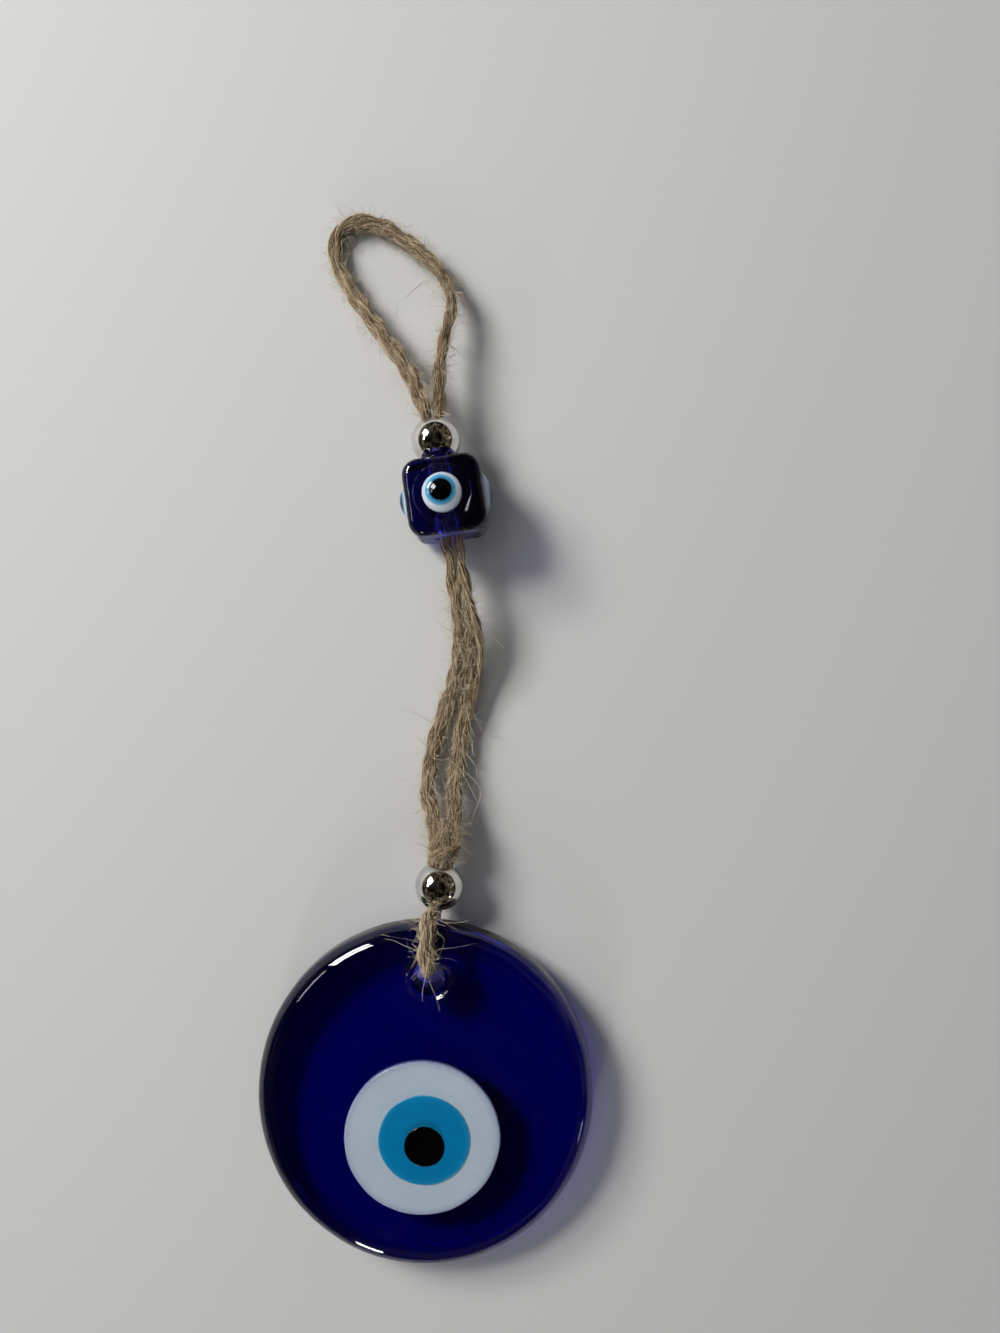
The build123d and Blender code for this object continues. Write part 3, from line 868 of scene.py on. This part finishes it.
def placePiece(piece, name, place, body, material, node):
    # puts a finished mesh where it belongs, with its object left at the origin
    onlyThis(piece)
    piece.name = name
    piece.matrix_world = place
    bpy.ops.object.transform_apply(location=True, rotation=True, scale=True)
    piece.data.materials.clear()
    piece.data.materials.append(material)
    piece.data.shade_smooth()
    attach(piece, body)
    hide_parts(node)


def copyPiece(piece):
    twin = piece.copy()
    twin.data = piece.data.copy()
    bpy.context.collection.objects.link(twin)
    return twin


def newGroup(name, given, result):
    # an empty node group with named inputs and one named output
    tree = bpy.data.node_groups.new(name, "ShaderNodeTree")
    for label, kind in given.items():
        tree.interface.new_socket(label, in_out="INPUT", socket_type="NodeSocket" + kind)
    tree.interface.new_socket(result[0], in_out="OUTPUT", socket_type="NodeSocket" + result[1])
    return tree, tree.nodes.new("NodeGroupInput").outputs, tree.nodes.new("NodeGroupOutput").inputs[0]


def addEffect(tree, group, **values):
    # places a group in a material with its own values or links
    return addNode(tree, "Group", values, node_tree=group)[0]


def makeMottle():
    # small clouds of a darker shade
    inputs = {"colour": "Color", "scale": "Float", "depth": "Float"}
    tree, given, result = newGroup("mottle", inputs, ("colour", "Color"))
    clouds = addNoise(tree, given["scale"], detail=5)
    share = addRange(tree, clouds, 0.3, 0.7, given["depth"], 0.0)
    tree.links.new(mixColours(tree, share, given["colour"], (0.0, 0.0, 0.0)), result)
    return tree


def makeSmudges():
    # a roughness that drifts between two values, as on handled glass
    inputs = {"scale": "Float", "clean": "Float", "dull": "Float"}
    tree, given, result = newGroup("smudges", inputs, ("roughness", "Float"))
    patches = addNoise(tree, given["scale"], detail=6)
    tree.links.new(addRange(tree, patches, 0.0, 1.0, given["clean"], given["dull"]), result)
    return tree


def makeUnevenSkin():
    # the slight waves of a fire-polished surface
    inputs = {"scale": "Float", "strength": "Float", "distance": "Float"}
    tree, given, result = newGroup("unevenSkin", inputs, ("normal", "Vector"))
    waves = addNoise(tree, given["scale"], detail=2)
    bump = {"Height": waves, "Strength": given["strength"], "Distance": given["distance"]}
    tree.links.new(addNode(tree, "Bump", bump)["Normal"], result)
    return tree


def makeRingPlace():
    # how far out a point is, as a share of a span in millimetres, with an edge that bleeds a little
    tree, given, result = newGroup("ringPlace", {"uneven": "Float", "span": "Float"}, ("share", "Float"))
    reach = addNode(tree, "Attribute", attribute_name="reach")["Fac"]
    moved = addMath(tree, "MULTIPLY_ADD", addNoise(tree, 900.0, detail=3), given["uneven"], reach)
    tree.links.new(addMath(tree, "DIVIDE", moved, given["span"]), result)
    return tree


mottle = makeMottle()
smudges = makeSmudges()
unevenSkin = makeUnevenSkin()
ringPlace = makeRingPlace()

# blue glass; "rings" is the colour of its skin by distance from the middle, in millimetres, darker in the
# outer rings as painted shade on the disc's rim and the cube's edges; "steep" is how far up a face looks
# where a lamp's light starts to come through it, and where it comes through fully
blueGlass = {
    "discGlass": {
        "body": (0.02, 0.04, 0.79), "density": 600, "roughness": 0.02,
        # the skin darkening from 23.6 mm out is painted shade on the rim
        "rings": ((23.6, (0.75, 0.75, 0.75)), (26.0, (0.32, 0.36, 0.50))), "span": 30.0,
        "lampTint": (0.97, 0.97, 1.0), "sideTint": (0.0, 0.0, 0.01), "steep": (0.82, 0.97),
    },
    "cubeGlass": {
        "body": (0.0, 0.01, 0.60), "density": 560, "roughness": 0.03,
        # the skin darkening from 6.6 mm out is painted shade on the edges and corners
        "rings": ((6.6, (0.97, 0.98, 1.0)), (8.2, (0.75, 0.78, 0.85))), "span": 12.0,
        "lampTint": (0.95, 0.95, 1.0), "sideTint": (0.2, 0.2, 0.3), "steep": (0.3, 0.8),
        "ground": (0.85, 0.96), "grain": 1400,  # the lower end is ground dull
    },
}
glassWaves = {"scale": 160.0, "strength": 0.12, "distance": 0.0003}


def facing(tree):
    # the three parts of the direction a face looks in, on the piece itself
    return addNode(tree, "SeparateXYZ", {0: addNode(tree, "TexCoord")["Normal"]})


def ringStops(glass):
    return [(reach / glass["span"], colour) for reach, colour in glass["rings"]]


def makeBlueGlass(name):
    # clear skin, painted darker towards its rim as shade, over a blue body; a lamp's light comes through flat
    # faces but hardly through steep sides
    glass = blueGlass[name]
    material, tree, shader = newFinish(name)
    # the skin's colour by distance from the middle, with painted shade towards the rim
    place = addEffect(tree, ringPlace, uneven=0.0, span=glass["span"])
    setInputs(tree, shader, {
        "Base Color": addRamp(tree, place, ringStops(glass)), "Roughness": glass["roughness"],
        "IOR": 1.5, "Transmission Weight": 1.0, "Normal": addEffect(tree, unevenSkin, **glassWaves),
    })
    body = addNode(tree, "VolumeAbsorption", {"Color": glass["body"], "Density": glass["density"]})
    setInputs(tree, tree.nodes["Material Output"], {"Volume": body["Volume"]})
    start, end = glass["steep"]
    slope = addMath(tree, "ABSOLUTE", facing(tree)["Z"])
    tint = addRamp(tree, slope, ((start, glass["sideTint"]), (end, glass["lampTint"])))
    through = addNode(tree, "BsdfTransparent", {"Color": tint})["BSDF"]
    mixShaders(tree, addNode(tree, "LightPath")["Is Shadow Ray"], shader.outputs["BSDF"], through)
    if "ground" in glass:
        down = addMath(tree, "MULTIPLY", facing(tree)["Y"], -1.0)
        grain = addNoise(tree, glass["grain"], detail=2)
        dull = addRange(tree, down, *glass["ground"], glass["roughness"], grain)
        setInputs(tree, shader, {"Roughness": dull})
    return material


# opaque glass of the eyes; "rings" are shades by distance from the eye's middle, in millimetres
eyeGlass = {
    "whiteGlass": {
        "rings": (
            (7.6, (0.388, 0.462, 0.536)), (9.5, (0.408, 0.478, 0.548)), (11.6, (0.402, 0.472, 0.548)),
            (12.5, (0.32, 0.365, 0.47)), (12.85, (0.15, 0.17, 0.31)),
        ),
        "span": 14.0, "mottles": ((700, 0.04), (95, 0.07)), "haze": (0.16, 0.32),
    },
    "turquoiseGlass": {
        "rings": (
            (3.2, (0.002, 0.136, 0.28)), (3.55, (0.0, 0.172, 0.380)), (6.6, (0.0, 0.178, 0.386)),
            (7.35, (0.006, 0.210, 0.420)), (7.62, (0.14, 0.34, 0.48)),
        ),
        "span": 9.0, "mottles": ((700, 0.07), (160, 0.08)), "haze": (0.15, 0.3),
    },
    "blackGlass": {
        "rings": ((1.0, (0.0008, 0.0009, 0.0012)), (3.3, (0.0009, 0.0009, 0.001))),
        "span": 4.0, "mottles": ((700, 0.5),), "haze": (0.05, 0.14),
    },
    "skyGlass": {
        "rings": (
            (1.85, (0.012, 0.11, 0.22)), (2.1, (0.035, 0.22, 0.40)), (2.45, (0.12, 0.36, 0.54)),
            (2.76, (0.48, 0.55, 0.61)),
        ),
        "span": 4.0, "mottles": ((700, 0.06),), "haze": (0.04, 0.1),
    },
    "brightWhite": {
        "rings": ((2.7, (0.52, 0.57, 0.62)), (3.2, (0.50, 0.555, 0.615))),
        "span": 4.0, "mottles": ((700, 0.04),), "haze": (0.04, 0.1),
    },
}
eyeSkin = {"bleed": 0.25, "smudgeScale": 220.0, "gloss": 0.32}


def makeEyeGlass(name):
    glass = eyeGlass[name]
    material, tree, shader = newFinish(name)
    place = addEffect(tree, ringPlace, uneven=eyeSkin["bleed"], span=glass["span"])
    colour = addRamp(tree, place, ringStops(glass))
    for scale, depth in glass["mottles"]:
        colour = addEffect(tree, mottle, colour=colour, scale=scale, depth=depth)
    clean, dull = glass["haze"]
    haze = addEffect(tree, smudges, scale=eyeSkin["smudgeScale"], clean=clean, dull=dull)
    setInputs(tree, shader, {"Base Color": colour, "Roughness": haze, "Specular IOR Level": eyeSkin["gloss"]})
    return material


silverCoat = {  # a thin mirror coat over glass, with faint tarnish and dents
    "tarnish": {"colour": (0.82, 0.80, 0.765), "scale": 420.0, "depth": 0.27},
    "smudges": {"scale": 420.0, "clean": 0.03, "dull": 0.12},
    "dents": {"scale": 500.0, "strength": 0.35, "distance": 0.0001},
}


def makeSilver():
    material, tree, shader = newFinish("silver")
    setInputs(tree, shader, {
        "Base Color": addEffect(tree, mottle, **silverCoat["tarnish"]), "Metallic": 1.0,
        "Roughness": addEffect(tree, smudges, **silverCoat["smudges"]),
        "Normal": addEffect(tree, unevenSkin, **silverCoat["dents"]),
    })
    return material


discGlass = makeBlueGlass("discGlass")
cubeGlass = makeBlueGlass("cubeGlass")
whiteGlass = makeEyeGlass("whiteGlass")
turquoiseGlass = makeEyeGlass("turquoiseGlass")
blackGlass = makeEyeGlass("blackGlass")
skyGlass = makeEyeGlass("skyGlass")
brightWhite = makeEyeGlass("brightWhite")
silver = makeSilver()
print("finishes")


def between(first, last, count):
    # rings that change evenly from one to another
    first, last = np.array(first, float), np.array(last, float)
    return [tuple(first + (last - first) * k / count) for k in range(count + 1)]


def makeDisc():
    top, reach = disc["thickness"], disc["radius"]
    front, back, foot = disc["frontRound"], disc["backRound"], disc["holeBackRound"]
    outside = arc(reach - front, top - front, front, 90, 0, 12)
    outside += arc(reach - back, back, back, 0, -90, 10)
    outside = [(*point, 0, disc["rise"], disc["tall"]) for point in outside]
    lip = [(radius, height, *disc["holeAt"], 1) for radius, height in disc["holeLip"]]
    toe = arc(disc["holeRadius"] + foot, foot, foot, 270, 180, 6)
    toe = [(*point, *disc["holeAt"], 1) for point in toe]
    rings = toe + lip
    rings += between(lip[-1], outside[0], disc["cuts"])[1:]
    rings += outside[1:]
    rings += between(outside[-1], toe[0], disc["cuts"])[1:]
    body = ringStack(rings, disc["around"])
    tidySkin()
    ripple(body, disc["rippleSize"], disc["ripple"])
    markReach(body, disc["tall"])
    placePiece(body, "glassDisc", onDisc, "pendant", discGlass, "glass_disc")


makeDisc()
print("glass disc")


largeEye = {
    "white": {"at": (-0.4, -5.8), "radius": 12.7, "low": 5.4, "high": 7.35, "edge": 0.3, "wobble": 0.42},
    "iris": {"at": (-0.05, -6.0), "radius": 7.5, "low": 6.55, "high": 7.46, "edge": 0.12, "wobble": 0.5},
    "pupil": {"at": (0.05, -7.1), "radius": 3.25, "low": 6.9, "high": 7.60, "edge": 0.15, "wobble": 0.4},
}
eyeMesh = {
    "around": 144, "edgeSteps": 5, "wobbleSize": 8.5,
    "rings": (0.93, 0.84, 0.72, 0.6, 0.47, 0.34, 0.2, 0.08),  # shares of the flat top's radius
}


def makeLayer(at, radius, low, high, edge, wobble):
    # a round layer with a soft edge and a slightly wavy outline
    inner = radius - edge
    rings = [(radius, low), (radius, high - edge)]
    rings += arc(inner, high - edge, edge, 0, 90, eyeMesh["edgeSteps"])[1:]
    rings += [(inner * share, high) for share in eyeMesh["rings"]]
    piece = ringStack(rings, eyeMesh["around"])
    closeEnds()
    tidySkin()
    # each layer at a place of its own in the pattern
    ripple(piece, eyeMesh["wobbleSize"], wobble, "X", (at[0] * 3, 7, 0))
    ripple(piece, eyeMesh["wobbleSize"], wobble, "Y", (31, at[1] * 5, 0))
    markReach(piece)
    return piece


for part, material, slot in (
    ("white", whiteGlass, "white_glass"), ("iris", turquoiseGlass, "turquoise_glass"),
    ("pupil", blackGlass, "black_glass"),
):
    piece = makeLayer(**largeEye[part])
    x, y = largeEye[part]["at"]
    onLayer = onDisc @ Matrix.Translation((x * mm, y * mm, 0))
    name = "largeEye" + part.capitalize()
    placePiece(piece, name, onLayer, "pendant", material, "disc_eye_" + part)
print("large eye")


bead = {"radius": 4.0, "bore": 1.8, "lip": 0.25, "around": 72, "steps": 30, "lipSteps": 5}


def makeBead():
    # a bored ball, drawn round its outside, over the lower lip, up the bore and over the upper lip
    ball, bore, lip = bead["radius"], bead["bore"], bead["lip"]
    lipReach = bore + lip
    lipHeight = math.sqrt((ball - lip) ** 2 - lipReach ** 2)
    tip = math.degrees(math.atan2(lipHeight, lipReach))
    outer = arc(0, 0, ball, tip, -tip, bead["steps"])
    low = arc(lipReach, -lipHeight, lip, -tip, -180, bead["lipSteps"])
    high = arc(lipReach, lipHeight, lip, 180, tip, bead["lipSteps"])
    return ringStack(outer + low[1:] + high, bead["around"])


beadModel = makeBead()
tidySkin(0.01)
for name, middle, along, body, node in (
    ("lowerSilverBead", lowerBeadMiddle, bailAlong, "lower_bead", "lower_silver_bead"),
    ("upperSilverBead", upperBeadMiddle, cubeUp, "upper_bead", "upper_silver_bead"),
):
    piece = copyPiece(beadModel)
    turned = along.to_track_quat("Z", "Y").to_matrix().to_4x4()
    placePiece(piece, name, Matrix.Translation(middle) @ turned, body, silver, node)
bpy.data.objects.remove(beadModel)
print("silvered beads")


cube = {
    "size": 12.0, "corner": 2.6, "cornerSteps": 10, "round": 1.4, "roundSteps": 7, "bore": 2.3,
    "voxel": 0.11, "smoothing": 6,
    "stretch": (0.55, -0.45),  # further out at the right side and at the lower end
    "lean": 0.25,  # how much further right its lower end stands
    "dishRadius": 4.6, "dishDepth": 0.26, "dishAround": 96, "boreAround": 64,
}
onCube = Matrix.Translation(cubeMiddle) @ Matrix.Rotation(math.atan2(-cubeUp.x, cubeUp.y), 4, "Z")
cubeSides = {
    "front": Matrix.Identity(4),
    "right": Matrix.Rotation(math.radians(90), 4, "Y"),
    "back": Matrix.Rotation(math.radians(180), 4, "Y"),
    "left": Matrix.Rotation(math.radians(-90), 4, "Y"),
}


def cutAway(piece, cutter):
    applyModifier(piece, "BOOLEAN", object=cutter)
    bpy.data.objects.remove(cutter)


def selectEdges(piece, wanted):
    # into edit mode, with the edges selected whose two ends pass the test
    setMode("EDIT")
    bpy.ops.mesh.select_mode(type="EDGE")
    bpy.ops.mesh.select_all(action="DESELECT")
    setMode("OBJECT")
    dots = piece.data.vertices
    for edge in piece.data.edges:
        edge.select = wanted(*(dots[end].co for end in edge.vertices))
    setMode("EDIT")


def makeCube():
    clearSelection()
    bpy.ops.mesh.primitive_cube_add(size=cube["size"] * mm)
    piece = bpy.context.object
    for wanted, shift in (
        (lambda a, b: a.x > 0 and b.x > 0, (cube["stretch"][0] * mm, 0, 0)),
        (lambda a, b: a.y < 0 and b.y < 0, (0, cube["stretch"][1] * mm, 0)),
        (lambda a, b: a.x > 0 and b.x > 0 and a.y < 0 and b.y < 0, (cube["lean"] * mm, 0, 0)),
    ):
        selectEdges(piece, wanted)
        bpy.ops.transform.translate(value=shift)
        setMode("OBJECT")
    selectEdges(piece, lambda a, b: abs(a.z - b.z) > mm)
    bpy.ops.mesh.bevel(offset=cube["corner"] * mm, segments=cube["cornerSteps"], affect="EDGES")
    setMode("OBJECT")
    face = (cube["size"] / 2 - 0.01) * mm
    selectEdges(piece, lambda a, b: abs(a.z) > face and abs(b.z) > face and a.z * b.z > 0)
    bpy.ops.mesh.bevel(offset=cube["round"] * mm, segments=cube["roundSteps"], affect="EDGES")
    setMode("OBJECT")
    for side, turned in cubeSides.items():
        bpy.ops.mesh.primitive_cylinder_add(
            vertices=cube["dishAround"], radius=cube["dishRadius"] * mm, depth=cube["size"] * mm
        )
        dish = bpy.context.object
        reach = cube["size"] - cube["dishDepth"] + (cube["stretch"][0] if side == "right" else 0)
        dish.matrix_world = turned @ Matrix.Translation((0, 0, reach * mm))
        bpy.ops.object.transform_apply()
        cutAway(piece, dish)
    bpy.ops.mesh.primitive_cylinder_add(
        vertices=cube["boreAround"], radius=cube["bore"] * mm, depth=cube["size"] * 2 * mm,
        rotation=(math.radians(90), 0, 0),
    )
    cutAway(piece, bpy.context.object)
    applyModifier(piece, "REMESH", mode="VOXEL", voxel_size=cube["voxel"] * mm)
    applyModifier(piece, "SMOOTH", factor=0.5, iterations=cube["smoothing"])
    tidySkin()
    markReach(piece)
    placePiece(piece, "cubeBead", onCube, "cube", cubeGlass, "cube_bead")


makeCube()
print("cube bead")


smallEye = {
    "whiteRadius": 3.15, "rise": 0.95, "foot": 0.9, "around": 64, "domeSteps": 14,
    "irisRadius": 2.7, "irisStand": 0.09, "irisSink": 0.02,
    "pupilRadius": 1.74, "pupilRise": 1.2, "pupilLift": 0.06, "layerFoot": 0.3,
    "proud": {"front": 0.0, "right": 0.85, "back": 0.1, "left": 0.0},
    "lean": {"front": (-3.6, -1.6), "right": (2.0, 1.0), "back": (1.5, -2.0), "left": (-2.0, 2.0)},
    "finish": {
        "White": (brightWhite, "white_glass"), "Iris": (skyGlass, "sky_glass"),
        "Pupil": (blackGlass, "black_glass"),
    },
}
smallEyeBall = (smallEye["whiteRadius"] ** 2 + smallEye["rise"] ** 2) / (2 * smallEye["rise"])


def makeDome(radius, rise, base, foot):
    # a shallow cap whose rim is at the base height, on a straight foot
    ball = (radius ** 2 + rise ** 2) / (2 * rise)
    tip = math.degrees(math.asin(radius / ball))
    rings = [(radius, base - foot)]
    for k in range(smallEye["domeSteps"]):
        angle = math.radians(tip * (1 - k / smallEye["domeSteps"]))
        rings.append((ball * math.sin(angle), base + rise - ball + ball * math.cos(angle)))
    piece = ringStack(rings, smallEye["around"])
    closeEnds()
    tidySkin()
    markReach(piece)
    return piece


def capHeight(reach):
    # height of the white's surface at a distance from its middle
    return smallEye["rise"] - smallEyeBall + math.sqrt(smallEyeBall ** 2 - reach ** 2)


def makeSmallEye():
    white = makeDome(smallEye["whiteRadius"], smallEye["rise"], 0, smallEye["foot"])
    irisEdge = capHeight(smallEye["irisRadius"]) - smallEye["irisSink"]
    irisRise = smallEye["rise"] + smallEye["irisStand"] - irisEdge
    iris = makeDome(smallEye["irisRadius"], irisRise, irisEdge, smallEye["layerFoot"])
    pupilEdge = capHeight(smallEye["pupilRadius"]) + smallEye["pupilLift"]
    pupilRise = smallEye["pupilRise"] - pupilEdge
    pupil = makeDome(smallEye["pupilRadius"], pupilRise, pupilEdge, smallEye["layerFoot"])
    return {"White": white, "Iris": iris, "Pupil": pupil}


def leanOn(aboutX, aboutY):
    # turns a layer about the middle of the white's ball, so that it stays on its surface
    ballMiddle = Matrix.Translation((0, 0, (smallEye["rise"] - smallEyeBall) * mm))
    tilt = Matrix.Rotation(math.radians(aboutX), 4, "X") @ Matrix.Rotation(math.radians(aboutY), 4, "Y")
    return ballMiddle @ tilt @ ballMiddle.inverted()


smallEyeModels = makeSmallEye()
for side, turned in cubeSides.items():
    stand = cube["size"] / 2 + smallEye["proud"][side]
    for part, model in smallEyeModels.items():
        piece = copyPiece(model)
        place = onCube @ turned @ Matrix.Translation((0, 0, stand * mm))
        if part != "White":
            place = place @ leanOn(*smallEye["lean"][side])
        material, slot = smallEye["finish"][part]
        node = f"cube_eye_{side}_{part.lower()}"
        placePiece(piece, "cubeEye" + side.capitalize() + part, place, "cube", material, node)
for model in smallEyeModels.values():
    bpy.data.objects.remove(model)
print("small eyes")
